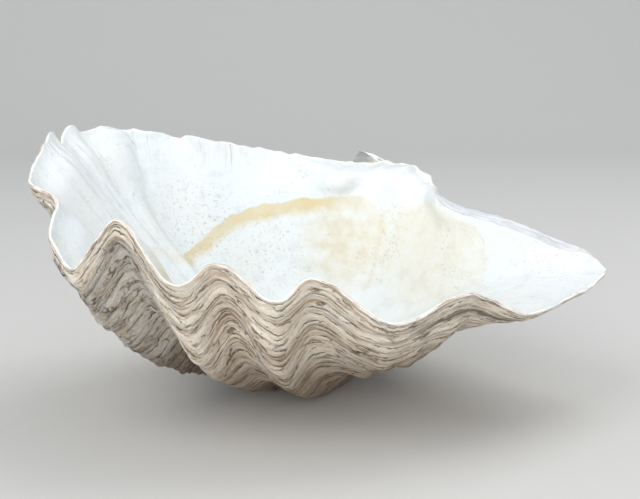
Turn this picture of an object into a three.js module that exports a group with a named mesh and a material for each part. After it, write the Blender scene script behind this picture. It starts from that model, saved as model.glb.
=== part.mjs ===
// One valve of a giant clam, lying on its belly with the hollow side up.
// Millimetres, +X along the length, +Y away from the front edge, +Z up.
// The outside is a growth surface: every stage of growth is a smaller copy of the edge,
// turned about the hinge axis through the beak, so each fold of the edge draws a rib.

import * as THREE from 'three';

// Place of the opening: it rises toward -X and toward +Y
const RISE_TO_LEFT = 0.2;
const RISE_TO_BACK = 0.19;

// Outline of the opening without its folds, in the plane of the opening.
// Each point is [to the right of the beak, forward of the beak].
const OUTLINE = [
  [30, 46], [36, 77], [62, 98], [107, 124], [138, 143], [147, 163], [128, 192], [82, 243],
  [46, 268], [-7, 289], [-54, 299], [-116, 304], [-164, 299], [-200, 276], [-228, 229],
  [-243, 178], [-256, 120], [-254, 88], [-232, 62], [-196, 46], [-118, 32], [-44, 22],
  [-20, 13], [8, 20],
];

// Folds of the edge. at is the share of the way round the outline,
// out and down are how far the fold swings outward and below the opening.
const FOLDS = [
  { at: 0.003, out: 0, down: -1.5 },
  { at: 0.032, out: 0, down: -4.5 },
  { at: 0.08, out: 0, down: -8.5 },
  { at: 0.128, out: 0, down: -7.5 },
  { at: 0.162, out: -2, down: -2 },
  { at: 0.199, out: 2, down: 2 },
  { at: 0.256, out: 5, down: 5.5 },
  { at: 0.299, out: -5.5, down: -6.5 },
  { at: 0.348, out: 9, down: 8 },
  { at: 0.392, out: -6.5, down: -8.5 },
  { at: 0.412, out: 3, down: 5.5 },
  { at: 0.445, out: -5, down: -8.5 },
  { at: 0.464, out: 2, down: 8 },
  { at: 0.505, out: -3, down: -20 },
  { at: 0.528, out: 5.5, down: 21 },
  { at: 0.549, out: 8.5, down: 12 },
  { at: 0.576, out: -1, down: -2 },
  { at: 0.627, out: 12, down: 7 },
  { at: 0.683, out: 1, down: -8 },
  { at: 0.698, out: -5, down: 5 },
  { at: 0.716, out: -2, down: -5 },
  { at: 0.726, out: -3, down: 2 },
  { at: 0.746, out: -2, down: -2 },
  { at: 0.76, out: 1.5, down: 1.5 },
  { at: 0.775, out: -1.5, down: -1.5 },
  { at: 0.794, out: 1.5, down: 1.5 },
  { at: 0.813, out: -1, down: -1 },
  { at: 0.846, out: 0, down: 0 },
  { at: 0.948, out: 0, down: 0 },
  { at: 0.974, out: 0, down: -8 },
  { at: 0.991, out: 0, down: -6.5 },
];

// Growth. The axis lies in the opening, turned from the length toward the front edge.
const AXIS_TURN = 0.52;
const RATE_OLD = 0.66;       // shrinking per radian near the edge
const RATE_YOUNG = 0.97;     // shrinking per radian near the beak
const RATE_CHANGE = 1.15;    // turn where the rate changes, radians
const RATE_BLEND = 0.35;
const BEAK_TURN = 2.95;      // turn of the beak's tip, radians
const BEAK_ROUND = 2.3;      // turn where the beak starts to round off
const BEAK_SHIFT = 33;       // how far the beak leans along the axis, away from the pointed end

// Stretches of the outline where the outside is fuller or slimmer than even growth makes it
const SWELLS = [
  { at: 0.25, width: 0.06, fullness: -0.14 },
  { at: 0.315, width: 0.024, fullness: 0.16 },
  { at: 0.36, width: 0.02, fullness: -0.03 },
  { at: 0.395, width: 0.02, fullness: 0.13 },
  { at: 0.435, width: 0.05, fullness: 0.16 },
];

// Growth ledges on the outside
const LEDGES = 14;
const LEDGE_LAST_TURN = 1.75;
const LEDGE_SPACING_POWER = 1.15;
const LEDGE_HEIGHT = 0.009;  // share of the distance from the beak
const LEDGE_STEP = 0.3;      // share of a ledge taken by its riser
const BEAK_ROWS = 6;

// Wall
const CAVITY_CENTRE = [-48, 128];
const RIM_WIDTH = 3.8;
const RIM_WIDTH_RIGHT = 9;   // worn edge between the hinge and the pointed end
const WALL = 11;
const SLIM_WALL = 75;        // added to the wall for each whole unit of slimness of the outside
const WALL_FULL = 0.3;       // share of the way in where the wall has its full thickness
const WALL_FADE = 0.35;      // share of the reach where it gives way to the floor
const FLOOR = 10;
const FLOOR_FULL = 0.6;
const CORNER_ROUND = 7;      // rounding where the wall meets the floor of the cavity
const CORNER_FULL = 0.2;
const BRIM_ROUND = 0.08;     // rounding of the cavity's brim, share of its reach
const BOWL_POWER = 4.2;      // higher is a flatter floor and steeper walls
const HINGE_PLATE = 30;      // breadth of the thick plate at the hinge
const HINGE = { from: 0.86, full: 0.93, fullEnd: 1.02, to: 1.09 };
const RIGHT_EDGE = { from: 0.985, full: 1.03, fullEnd: 1.115, to: 1.16 };
const TOOTH = { at: 0.975, width: 0.02, height: 5 };
const INNER_TROUGH_END = 0.4; // share of the way in where the folds have faded,
const INNER_RIDGE_END = 0.75; // sooner in the troughs than on the ridges
const BRIM_REACH = 0.985;    // rows past this share cross the rim and the hinge plate
const INNER_ROWS = [1, 0.9925, 0.985, 0.95, 0.88, 0.8, 0.71, 0.61, 0.5, 0.38, 0.25, 0.12];

// Worn patches that the shell rests on
const WEAR = 5;

// Fineness
const COLUMN_STEP = 0.0092;  // share of the outline
const FEWEST_COLUMNS = 3;    // between one fold and the next
const HALF_COLUMNS_BELOW = 0.42;
const QUARTER_COLUMNS_BELOW = 0.16;
const OUTLINE_PROBE = 0.004;
const RIM_PROBE = 0.002;
const RIM_PROBE_TURN = 0.03;
const SAMPLES = 900;
const SEARCH_STEPS = 34;
const DEEPEST_TURN = Math.PI / 2 - 0.02;

const outlineCurve = new THREE.CatmullRomCurve3(
  OUTLINE.map(([right, forward]) => new THREE.Vector3(right, forward, 0)),
  true,
  'centripetal',
);
outlineCurve.arcLengthDivisions = 2400;

function wrap(share) {
  return share - Math.floor(share);
}

function smooth(from, to, value) {
  const part = Math.min(1, Math.max(0, (value - from) / (to - from)));
  return part * part * (3 - 2 * part);
}

// 1 between full and fullEnd, easing to 0 at from and to, round the outline
function stretch(share, zone) {
  const value = share < zone.from ? share + 1 : share;
  const rising = smooth(zone.from, zone.full, value);
  const falling = 1 - smooth(zone.fullEnd, zone.to, value);
  return rising * falling;
}

function outlinePoint(share) {
  const point = outlineCurve.getPointAt(wrap(share));
  return [point.x, point.y];
}

// Unit vector out of the opening at a share of the outline
function outwardAt(share) {
  const [x0, f0] = outlinePoint(share - OUTLINE_PROBE);
  const [x1, f1] = outlinePoint(share + OUTLINE_PROBE);
  const length = Math.hypot(x1 - x0, f1 - f0);
  return [(f1 - f0) / length, -(x1 - x0) / length];
}

// Fold of the edge at a share: swings from one listed fold to the next as a cosine
function foldAt(share) {
  const at = wrap(share);
  let after = FOLDS.findIndex((fold) => fold.at > at);
  if (after < 0) {
    after = 0;
  }
  const next = FOLDS[after];
  const last = FOLDS[(after + FOLDS.length - 1) % FOLDS.length];
  const part = wrap(at - last.at) / wrap(next.at - last.at);
  const swing = (1 - Math.cos(Math.PI * part)) / 2;
  return {
    out: last.out + (next.out - last.out) * swing,
    down: last.down + (next.down - last.down) * swing,
  };
}

// Point of the folded edge, [right, forward, up]
function edgePoint(share) {
  const [x, f] = outlinePoint(share);
  const [outX, outF] = outwardAt(share);
  const fold = foldAt(share);
  return [x + outX * fold.out, f + outF * fold.out, -fold.down];
}

function softRamp(turn) {
  return RATE_BLEND * Math.log1p(Math.exp((turn - RATE_CHANGE) / RATE_BLEND));
}

// Size of the stage of growth at a turn, 1 at the edge and 0 at the beak's tip
function stageSize(turn) {
  const bend = (RATE_YOUNG - RATE_OLD) * (softRamp(turn) - softRamp(0));
  const rounding = Math.max(0, (turn - BEAK_ROUND) / (BEAK_TURN - BEAK_ROUND));
  return Math.exp(-RATE_OLD * turn - bend) * Math.sqrt(Math.max(0, 1 - rounding * rounding));
}

// How far a stage of growth leans along the axis toward the beak's tip
function leanAt(size) {
  return BEAK_SHIFT * (1 - size) ** 2;
}

// Turns an edge point about the hinge axis and shrinks it
function grow([x, f, up], turn, size) {
  const cosAxis = Math.cos(AXIS_TURN);
  const sinAxis = Math.sin(AXIS_TURN);
  const along = (x * cosAxis + f * sinAxis) * size - leanAt(size);
  const across = -x * sinAxis + f * cosAxis;
  const swung = (across * Math.cos(turn) + up * Math.sin(turn)) * size;
  const risen = (-across * Math.sin(turn) + up * Math.cos(turn)) * size;
  return [along * cosAxis - swung * sinAxis, along * sinAxis + swung * cosAxis, risen];
}

function fullnessAt(share) {
  return SWELLS.reduce((total, swell) => {
    const offset = (share - swell.at) / swell.width;
    return total + swell.fullness * Math.exp(-offset * offset);
  }, 0);
}

function outsidePoint(share, turn, ledge) {
  const size = stageSize(turn) ** (1 - fullnessAt(share)) * (1 + ledge);
  return grow(edgePoint(share), turn, size);
}

// The plain outline sampled along and across the axis, to find the stage over a point
const samples = Array.from({ length: SAMPLES }, (_, index) => {
  const share = index / SAMPLES;
  const [x, f] = outlinePoint(share);
  return {
    along: x * Math.cos(AXIS_TURN) + f * Math.sin(AXIS_TURN),
    across: -x * Math.sin(AXIS_TURN) + f * Math.cos(AXIS_TURN),
  };
});

function insideOutline(along, across) {
  let inside = false;
  for (let index = 0; index < SAMPLES; index += 1) {
    const here = samples[index];
    const next = samples[(index + 1) % SAMPLES];
    const crosses = here.across > across !== next.across > across;
    if (crosses) {
      const part = (across - here.across) / (next.across - here.across);
      if (along < here.along + part * (next.along - here.along)) {
        inside = !inside;
      }
    }
  }
  return inside;
}

// Depth of the unfolded outside below a point of the opening, and the size of that stage
function outsideBelow(x, f) {
  const along = x * Math.cos(AXIS_TURN) + f * Math.sin(AXIS_TURN);
  const across = -x * Math.sin(AXIS_TURN) + f * Math.cos(AXIS_TURN);
  let shallow = 0;
  let deep = DEEPEST_TURN;
  for (let step = 0; step < SEARCH_STEPS; step += 1) {
    const turn = (shallow + deep) / 2;
    const size = stageSize(turn);
    if (insideOutline((along + leanAt(size)) / size, across / (size * Math.cos(turn)))) {
      shallow = turn;
    } else {
      deep = turn;
    }
  }
  return { up: -across * Math.tan(shallow), size: stageSize(shallow) };
}

// The larger of two values, eased where they meet
function softMax(one, other, round) {
  const gap = one - other;
  return (one + other + Math.sqrt(gap * gap + round * round)) / 2;
}

const cavityDepth = -outsideBelow(...CAVITY_CENTRE).up - FLOOR;

function rimWidth(share) {
  return RIM_WIDTH + (RIM_WIDTH_RIGHT - RIM_WIDTH) * stretch(share, RIGHT_EDGE);
}

// Inner corner of the rim: square to the folded wall, one rim width from the edge
function rimCorner(share) {
  const edge = new THREE.Vector3(...edgePoint(share));
  const along = new THREE.Vector3(...edgePoint(share + RIM_PROBE));
  along.sub(new THREE.Vector3(...edgePoint(share - RIM_PROBE)));
  const younger = new THREE.Vector3(...outsidePoint(share, RIM_PROBE_TURN, 0)).sub(edge);
  const inward = new THREE.Vector3().crossVectors(along, younger).normalize();
  return edge.addScaledVector(inward, rimWidth(share));
}

// Point of the cavity's smooth form: reach is 1 at the rim and 0 at the middle
function cavityPoint(share, reach) {
  const [edgeX, edgeF] = outlinePoint(share);
  const [centreX, centreF] = CAVITY_CENTRE;
  const full = Math.hypot(edgeX - centreX, edgeF - centreF);
  const wayX = (edgeX - centreX) / full;
  const wayF = (edgeF - centreF) / full;
  const rim = rimWidth(share);
  const plate = HINGE_PLATE * stretch(share, HINGE);
  const brim = full - rim - plate;
  const inner = brim * reach + plate * smooth(BRIM_REACH, 1, reach);
  const depthShare = 1 - reach;

  const wallPart = smooth(0, WALL_FULL, depthShare) * smooth(0, WALL_FADE, reach);
  const slimness = Math.max(0, -fullnessAt(share));
  const wall = rim + (WALL + SLIM_WALL * slimness - rim) * wallPart;
  const outer = Math.min(full, inner + wall);
  const below = outsideBelow(centreX + wayX * outer, centreF + wayF * outer);
  const shellUp = below.up + FLOOR * smooth(0, FLOOR_FULL, depthShare);

  const bowl = softMax(0, 1 - (inner / brim) ** BOWL_POWER, BRIM_ROUND);
  const corner = CORNER_ROUND * smooth(0, CORNER_FULL, depthShare);
  const up = softMax(shellUp, -cavityDepth * bowl, corner);

  const [outX, outF] = outwardAt(share);
  const fold = foldAt(share);
  const fadeEnd = fold.down > 0 ? INNER_TROUGH_END : INNER_RIDGE_END;
  const swing = below.size * (1 - smooth(0, fadeEnd, depthShare));
  const toothSide = (wrap(share - TOOTH.at + 0.5) - 0.5) / TOOTH.width;
  const onPlate = smooth(BRIM_REACH, 1, reach);
  const tooth = 4 * TOOTH.height * onPlate * (1 - onPlate) * Math.exp(-toothSide * toothSide);
  return [
    centreX + wayX * inner + outX * fold.out * swing,
    centreF + wayF * inner + outF * fold.out * swing,
    up - fold.down * swing + tooth,
  ];
}

// Point of the inside: the cavity's form, led out to the rim's inner corner
function insidePoint(share, reach) {
  const lead = 1 - smooth(0, INNER_RIDGE_END, 1 - reach);
  const shift = rimCorner(share).sub(new THREE.Vector3(...cavityPoint(share, 1)));
  return new THREE.Vector3(...cavityPoint(share, reach)).addScaledVector(shift, lead).toArray();
}

// Columns fall on every fold, with equal steps between
function columnShares() {
  const shares = [];
  FOLDS.forEach((fold, index) => {
    const next = FOLDS[(index + 1) % FOLDS.length];
    const gap = wrap(next.at - fold.at);
    const parts = Math.max(FEWEST_COLUMNS, Math.round(gap / COLUMN_STEP));
    for (let part = 0; part < parts; part += 1) {
      shares.push(wrap(fold.at + (gap * part) / parts));
    }
  });
  return shares.sort((one, other) => one - other);
}

// Rows of the outside from the edge to the beak: each ledge has a foot and a lip
function outsideRows() {
  const rows = [];
  const ledgeTurn = (index) => LEDGE_LAST_TURN * (index / LEDGES) ** LEDGE_SPACING_POWER;
  for (let index = 0; index < LEDGES; index += 1) {
    const foot = ledgeTurn(index);
    const step = (ledgeTurn(index + 1) - foot) * LEDGE_STEP;
    rows.push({ turn: foot, ledge: 0 });
    rows.push({ turn: foot + step, ledge: LEDGE_HEIGHT });
  }
  for (let index = 0; index < BEAK_ROWS; index += 1) {
    const part = index / BEAK_ROWS;
    rows.push({ turn: LEDGE_LAST_TURN + (BEAK_TURN - LEDGE_LAST_TURN) * part, ledge: 0 });
  }
  return rows;
}

// Keeps every column on large rings and fewer on small ones
function thinned(shares, size) {
  let step = 1;
  if (size < HALF_COLUMNS_BELOW) {
    step = 2;
  }
  if (size < QUARTER_COLUMNS_BELOW) {
    step = 4;
  }
  return shares.filter((_, index) => index % step === 0);
}

const positions = [];
const triangles = [];

function addRing(shares, place) {
  const first = positions.length;
  shares.forEach((share) => positions.push(place(share)));
  return { first, shares };
}

// Joins two rings by walking both round in order of share
function joinRings(outer, inner, flip) {
  const outerCount = outer.shares.length;
  const innerCount = inner.shares.length;
  const shareOf = (ring, index) => {
    const count = ring.shares.length;
    return ring.shares[index % count] + Math.floor(index / count);
  };
  let outerIndex = 0;
  let innerIndex = 0;
  while (outerIndex < outerCount || innerIndex < innerCount) {
    const a = outer.first + (outerIndex % outerCount);
    const b = inner.first + (innerIndex % innerCount);
    const outerNext = shareOf(outer, outerIndex + 1);
    const innerNext = shareOf(inner, innerIndex + 1);
    const stepOuter = innerIndex >= innerCount || (outerIndex < outerCount && outerNext <= innerNext);
    let triangle;
    if (stepOuter) {
      outerIndex += 1;
      triangle = [a, outer.first + (outerIndex % outerCount), b];
    } else {
      innerIndex += 1;
      triangle = [a, inner.first + (innerIndex % innerCount), b];
    }
    triangles.push(flip ? [triangle[0], triangle[2], triangle[1]] : triangle);
  }
}

function closeRing(ring, tip, flip) {
  const count = ring.shares.length;
  const last = positions.length;
  positions.push(tip);
  for (let index = 0; index < count; index += 1) {
    const here = ring.first + index;
    const next = ring.first + ((index + 1) % count);
    triangles.push(flip ? [here, last, next] : [here, next, last]);
  }
}

function buildRings() {
  const shares = columnShares();
  const outsideRings = outsideRows().map(({ turn, ledge }) => {
    const kept = thinned(shares, stageSize(turn));
    return addRing(kept, (share) => outsidePoint(share, turn, ledge));
  });
  for (let index = 1; index < outsideRings.length; index += 1) {
    joinRings(outsideRings[index - 1], outsideRings[index], false);
  }
  const lastSize = stageSize(outsideRows().at(-1).turn);
  closeRing(outsideRings.at(-1), grow([...CAVITY_CENTRE, 0], BEAK_TURN, lastSize), false);

  const insideRings = INNER_ROWS.map((reach) => {
    const kept = thinned(shares, reach);
    return addRing(kept, (share) => insidePoint(share, reach));
  });
  joinRings(outsideRings[0], insideRings[0], true);
  for (let index = 1; index < insideRings.length; index += 1) {
    joinRings(insideRings[index - 1], insideRings[index], true);
  }
  closeRing(insideRings.at(-1), [...CAVITY_CENTRE, -cavityDepth], true);
}

// Tilts the opening, wears the lowest ribs flat and sets the shell on the ground
function restOnGround() {
  const right = new THREE.Vector3(1, 0, -RISE_TO_LEFT).normalize();
  const up = new THREE.Vector3(RISE_TO_LEFT, -RISE_TO_BACK, 1).normalize();
  const forward = new THREE.Vector3().crossVectors(right, up);
  const placed = positions.map(([x, f, z]) => {
    const point = new THREE.Vector3();
    point.addScaledVector(right, x);
    point.addScaledVector(forward, f);
    point.addScaledVector(up, z);
    return point;
  });
  const ground = new THREE.Box3().setFromPoints(placed).min.z + WEAR;
  placed.forEach((point) => {
    point.z = Math.max(point.z, ground);
  });
  const box = new THREE.Box3().setFromPoints(placed);
  const middle = box.getCenter(new THREE.Vector3());
  placed.forEach((point) => point.sub(new THREE.Vector3(middle.x, middle.y, ground)));
  return placed;
}

buildRings();
const geometry = new THREE.BufferGeometry().setFromPoints(restOnGround());
geometry.setIndex(triangles.flat());
geometry.computeVertexNormals();

const shellMaterial = new THREE.MeshStandardMaterial({
  color: 0xcdbfa9,
  roughness: 0.75,
  metalness: 0,
});
const valve = new THREE.Mesh(geometry, shellMaterial);
valve.name = 'valve';

const clamShell = new THREE.Group();
clamShell.name = 'giant_clam_shell';
clamShell.add(valve);

export default clamShell;
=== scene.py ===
"""One valve of a giant clam, lying on its belly with the hollow side up.

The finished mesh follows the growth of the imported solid: every stage of growth is a smaller copy
of the folded edge, turned about the hinge axis through the beak. Fine ledges, the rounded lip, the
crust and the colours are added here. Growth is worked out in millimetres, the mesh is in metres.
"""

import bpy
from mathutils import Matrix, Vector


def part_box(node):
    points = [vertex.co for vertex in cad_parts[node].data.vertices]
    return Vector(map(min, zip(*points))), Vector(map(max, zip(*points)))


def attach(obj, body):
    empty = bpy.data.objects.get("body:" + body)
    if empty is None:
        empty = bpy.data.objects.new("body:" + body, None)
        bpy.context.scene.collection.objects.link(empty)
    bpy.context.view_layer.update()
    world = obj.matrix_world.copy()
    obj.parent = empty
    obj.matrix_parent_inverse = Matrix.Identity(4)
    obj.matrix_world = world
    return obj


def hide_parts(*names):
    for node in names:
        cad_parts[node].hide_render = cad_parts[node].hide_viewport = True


bl_info = {
    "name": "Giant Clam Valve",
    "version": (1, 0, 0),
    "blender": (4, 5, 0),
    "location": "View3D > Sidebar > Clam",
    "description": "Builds one ledged valve of a giant clam, its stage and its camera",
    "category": "Add Mesh",
}

import math

import bpy
import numpy as np
from bpy.props import FloatProperty, FloatVectorProperty, PointerProperty
from mathutils import Vector

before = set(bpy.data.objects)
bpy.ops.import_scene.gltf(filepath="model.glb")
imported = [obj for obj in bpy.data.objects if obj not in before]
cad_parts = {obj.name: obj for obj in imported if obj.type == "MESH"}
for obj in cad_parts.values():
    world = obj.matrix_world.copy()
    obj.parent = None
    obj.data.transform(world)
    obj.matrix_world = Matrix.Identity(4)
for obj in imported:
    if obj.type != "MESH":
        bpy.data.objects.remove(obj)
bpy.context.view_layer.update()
MM = 0.001

# Place of the opening: it rises toward -X and toward +Y
RISE_TO_LEFT = 0.2
RISE_TO_BACK = 0.19

# Outline of the opening without its folds: [to the right of the beak, forward of the beak]
OUTLINE = np.array([
    [30, 46], [36, 77], [62, 98], [107, 124], [138, 143], [147, 163], [128, 192], [82, 243],
    [46, 268], [-7, 289], [-54, 299], [-116, 304], [-164, 299], [-200, 276], [-228, 229],
    [-243, 178], [-256, 120], [-254, 88], [-232, 62], [-196, 46], [-118, 32], [-44, 22],
    [-20, 13], [8, 20],
], float)

# Folds of the edge: share of the way round, swing outward, swing below the opening
FOLDS = np.array([
    [0.003, 0, -1.5], [0.032, 0, -4.5], [0.08, 0, -8.5], [0.128, 0, -7.5], [0.162, -2, -2],
    [0.199, 2, 2], [0.256, 5, 5.5], [0.299, -5.5, -6.5], [0.348, 9, 8], [0.392, -6.5, -8.5],
    [0.412, 3, 5.5], [0.445, -5, -8.5], [0.464, 2, 8], [0.505, -3, -20], [0.528, 5.5, 21],
    [0.549, 8.5, 12], [0.576, -1, -2], [0.627, 12, 7], [0.683, 1, -8], [0.698, -5, 5],
    [0.716, -2, -5], [0.726, -3, 2], [0.746, -2, -2], [0.76, 1.5, 1.5], [0.775, -1.5, -1.5],
    [0.794, 1.5, 1.5], [0.813, -1, -1], [0.846, 0, 0], [0.936, 0, 0], [0.955, 0, -5], [0.974, 0, -8],
    [0.991, 0, -6.5],
], float)

# Ribs and grooves of the outside beyond even growth: share of the way round, swing outward at
# each of the listed turns
RIB_TURNS = (0.0, 0.22, 0.5, 0.9, 1.4)
RIBS = np.array([
    [0.235, 0, 0, 0, 0, 0], [0.262, 0, -5, -2, 0, 0], [0.283, 0, -1, 3, 0, 0], [0.299, 0, 8, 9.5, 0, 0],
    [0.318, 0, 2, 3, 0, 0], [0.335, 0, 0, -5, 0, 0], [0.348, 0, 2, -2, 0, 0], [0.363, 0, 0, 6, 0, 0],
    [0.392, 0, -5, 2, 8, 0], [0.412, 0, 6, 1, -2, 0], [0.445, 0, -5, 1, 0, 0], [0.464, 0, 5, -1, 1, 0],
    [0.488, 0, 0, 0, 0, 0], [0.505, 0, 0, 0, 0, 0], [0.528, 0, 2, 4, 1, 0], [0.55, 0, 0, 0, 0, 0],
    [0.58, 0, 0, 0, 0, 0],
], float)

# Small scallops of the back edge: share of the way round, lift
SCALLOPS = np.array([
    [0.755, 0], [0.768, 1.2], [0.777, -1], [0.79, 1.5], [0.799, -1.2], [0.813, 2], [0.822, -1],
    [0.838, 1.2], [0.846, -0.8], [0.862, 0.8], [0.87, -0.5], [0.885, 0],
], float)

# Growth about an axis that lies in the opening, turned from the length toward the front edge
AXIS_TURN = 0.52
RATE_OLD = 0.66
RATE_YOUNG = 0.97
RATE_CHANGE = 1.15
RATE_BLEND = 0.35
BEAK_TURN = 2.95
BEAK_ROUND = 2.3
BEAK_LAST_TURN = 2.75
BEAK_SHIFT = 33

# Where the outside is fuller or slimmer than even growth makes it: share, width, fullness
SWELLS = (
    (0.25, 0.06, -0.14), (0.315, 0.024, 0.16), (0.36, 0.02, -0.03), (0.395, 0.02, 0.13),
    (0.435, 0.05, 0.16),
)

# Wall and hollow. A stretch of the outline is four shares: start, full, full end and end.
CAVITY_CENTRE = np.array([-48.0, 128.0])
RIM_WIDTH = 2.4
RIM_WIDTH_RIGHT = 9
RIGHT_EDGE = (0.985, 1.03, 1.115, 1.16)
WALL = 11
SLIM_WALL = 30
WALL_FULL = 0.12
WALL_FULL_TIP = 0.3
WALL_FADE = 0.35
THICK = (0.73, 0.742, 0.758, 0.775)
THICK_WALL = 4
THICK_FULL = 0.03
FLOOR = 10
FLOOR_FULL = 0.6
CORNER_ROUND = 7
CORNER_FULL = 0.2
BRIM_ROUND = 0.08
BRIM_REACH = 0.985
BOWL_POWER = 4.2
HINGE_PLATE = 30
HINGE = (0.86, 0.93, 0.965, 1.03)
TOOTH_AT = 0.975
TOOTH_WIDTH = 0.02
TOOTH_HEIGHT = 2.5
INNER_TROUGH_END = 0.4
INNER_RIDGE_END = 0.75

# Where the folds die out early on the inside, and where the inside is evened out along its rows
SMOOTH_INSIDE = (0.12, 0.18, 0.31, 0.36)
SMOOTH_INSIDE_FADE = 0.3
HINGE_EASE = (0.84, 0.9, 1.02, 1.08)
TIP_EASE = (0.07, 0.105, 0.19, 0.25)
EASE_COLUMNS = 18
EASE_FADE = 0.03

# Growth stops: the large ledges that the solid has too
STOPS = 14
STOP_LAST_TURN = 1.75
STOP_SPACING_POWER = 1.15
STOP_RISER = 0.3

# Fine ledges between the stops. Each has a crevice at its foot, a lip and a slope.
LEDGES = 84
LEDGE_LAST_TURN = 2.45
LEDGE_SPACING_POWER = 1.22
LEDGE_SPACING_SPREAD = 0.55
LEDGE_WOBBLE = 0.007
LEDGE_PARTS = (0.0, 0.3, 0.62)
LEDGE_PROFILE = (-0.3, 1.0, 0.5)
BEAK_ROWS = 7
BEAK_COUNT = 6
CAP_ROWS = 3
SEED = 11
RIPPLE_WAVES = 7

# How ledges differ: middle strength, spread, least and most
LEDGE_STRENGTH = (0.6, 0.5, 0.05, 1.7)
STOP_STRENGTH = (0.75, 0.3, 0.2, 1.3)

# Waves of the wobble and the strengths: ledges to a length, waves round the outline and along, seed
WOBBLE_WAVES = (20, (6, 34), (0.3, 1.2), SEED + 1)
LEDGE_WAVES = (4, (4, 30), (0.4, 1.6), SEED + 2)
STOP_WAVES = (20, (3, 14), (0.2, 0.8), SEED + 3)
CHIP_WAVES = (1, (40, 110), (0, 0), SEED + 5)

# Number of ledges from the edge over which the relief of each kind comes in, and goes at the beak
RELIEF_START = 2.5
WOBBLE_START = 8
WEAR_START = 6
CRUST_START = (0.5, 5)
RELIEF_END = 12

# Stretches of the outside: even beside the hinge, rubbed smooth, crusted, and with painted shade under
# one ledge
CALM = (0.86, 0.92, 1.03, 1.1)
HINGE_CALM = 0.97
RUBBED = (0.88, 0.95, 1.15, 1.22)
CRUST = (0.47, 0.5, 0.565, 0.62)
CRUST_LEDGES = 1.0
GAP = (0.2, 0.24, 0.31, 0.35)
GAP_LEDGE = 5.5
CREST_SWING = (2, -4)

# Marks of the lining as places on the hollow: share of the way round and reach
PALLIAL_LINE = (
    (0.2, 0.7), (0.3, 0.66), (0.4, 0.64), (0.5, 0.62), (0.6, 0.6), (0.7, 0.6), (0.771, 0.641),
    (0.805, 0.769), (0.821, 0.813), (0.842, 0.852), (0.873, 0.902), (0.905, 0.941), (0.931, 0.956),
    (0.947, 0.956), (0.974, 0.906),
)
# The first points of the scar line follow a soft ridge, whose shade is painted along the line.
SCAR_LINE = (
    (0.984, 0.76), (0.978, 0.84), (0.972, 0.91), (0.97, 0.935), (0.985, 0.962), (1.0, 0.978),
    (1.026, 0.985), (1.05, 0.99), (1.063, 0.985), (1.074, 0.965), (1.08, 0.945), (1.09, 0.9),
    (1.1, 0.82),
)
SCAR_TURN_BACK = 3
SCARRED = (0.955, 0.972, 1.09, 1.13)
SCAR_EDGE = 0.012
BAND_SEEN = (0.74, 0.79, 0.9, 0.975)
BAND_FAINT = 0.25
FURROWS = (0.64, 0.67, 0.73, 0.76)
FURROW_REACH = (0.45, 0.75)
BACK_FURROWS = (0.72, 0.75, 0.84, 0.88)
BACK_FURROW_REACH = (0.93, 0.985)

# Patches of the lining in metres: middle, full and end distance from it, and strength where it varies
IVORY_PATCHES = (
    ((0.063, 0.025, 0.111), 0.015, 0.06, 0.85), ((0.02, 0.07, 0.1), 0.015, 0.055, 0.7),
    ((-0.02, 0.02, 0.04), 0.02, 0.09, 0.35),
)
TAN_PATCH = ((0.019, 0.078, 0.096), 0.008, 0.042)
SPECKS = (
    ((-0.092, 0.075, 0.112), 0.015, 0.05, 0.8), ((-0.042, 0.084, 0.09), 0.015, 0.045, 0.7),
    ((0.16, -0.02, 0.105), 0.01, 0.05, 0.6),
)
STAIN = ((-0.097, -0.156, 0.122), 0.006, 0.02)
SCAR = ((0.075, 0.03, 0.105), 0.03, 0.075)
RINGS = ((0.12, 0.01, 0.105), 0.02, 0.045)

# Stage, in metres and watts
FLOOR_REACH = 6.0
SWEEP_START = 1.5
SWEEP_ROUND = 1.5
SWEEP_ROWS = 32
LIGHTS = (
    ("key", (-0.9, -1.2, 1.6), 1.1, 11),
    ("front", (-0.4, -2.3, 0.6), 1.6, 31),
    ("top", (0.7, 0.4, 1.8), 1.4, 13),
)
LIGHT_TARGET = (0, 0, 0.1)
CAMERA_PLACE = (-0.0009, -0.8828, 0.2786)
CAMERA_TARGET = (-0.0009, -0.0278, 0.1124)

# Fineness of the mesh
COLUMNS = 300
FRONT = (0.12, 0.2, 0.68, 0.74)
FINE_HINGE = (0.92, 0.94, 1.0, 1.03)
FINE_DENSITY = 1.9
RIM_ROWS = 6
PLATE_ROWS = 9
BOWL_ROWS = 44
BOWL_ROW_POWER = 1.35
SPLINE_STEPS = 120
DENSITY_STEPS = 4001
OUTLINE_PROBE = 0.004
RIM_PROBE = 0.002
RIM_PROBE_TURN = 0.03
SAMPLES = 450
SEARCH_STEPS = 28
DEEPEST_TURN = math.pi / 2 - 0.02
MERGE_DISTANCE = 2e-6


def smooth(start, end, value):
    part = np.clip((value - start) / (end - start), 0, 1)
    return part * part * (3 - 2 * part)


def stretch(share, zone):
    """1 between the zone's middle shares, easing to 0 at its ends, round the outline."""
    start, full, full_end, end = zone
    value = np.where(share < start, share + 1, share)
    return smooth(start, full, value) * (1 - smooth(full_end, end, value))


def soft_max(one, other, rounding):
    gap = one - other
    return (one + other + np.sqrt(gap * gap + rounding * rounding)) / 2


def unit(vectors):
    return vectors / np.linalg.norm(vectors, axis=-1, keepdims=True)


def ripple(share, count, waves):
    """Seeded sum of waves that closes round the outline. count is the number of ledges."""
    spacing, rounds, lengths, seed = waves
    along = count / spacing
    draw = np.random.default_rng(seed)
    total = np.zeros(np.broadcast(share, along).shape)
    for _ in range(RIPPLE_WAVES):
        around = draw.integers(rounds[0], rounds[1] + 1)
        across = draw.uniform(lengths[0], lengths[1]) * draw.choice([-1, 1])
        phase = draw.uniform(0, 2 * math.pi)
        total += np.sin(2 * math.pi * (around * share + across * along) + phase)
    return total / math.sqrt(RIPPLE_WAVES / 2)


def uneven(strength, waves):
    """Strength that follows waves about its middle, within its limits."""
    middle, spread, least, most = strength
    return np.clip(middle + spread * waves, least, most)


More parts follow.
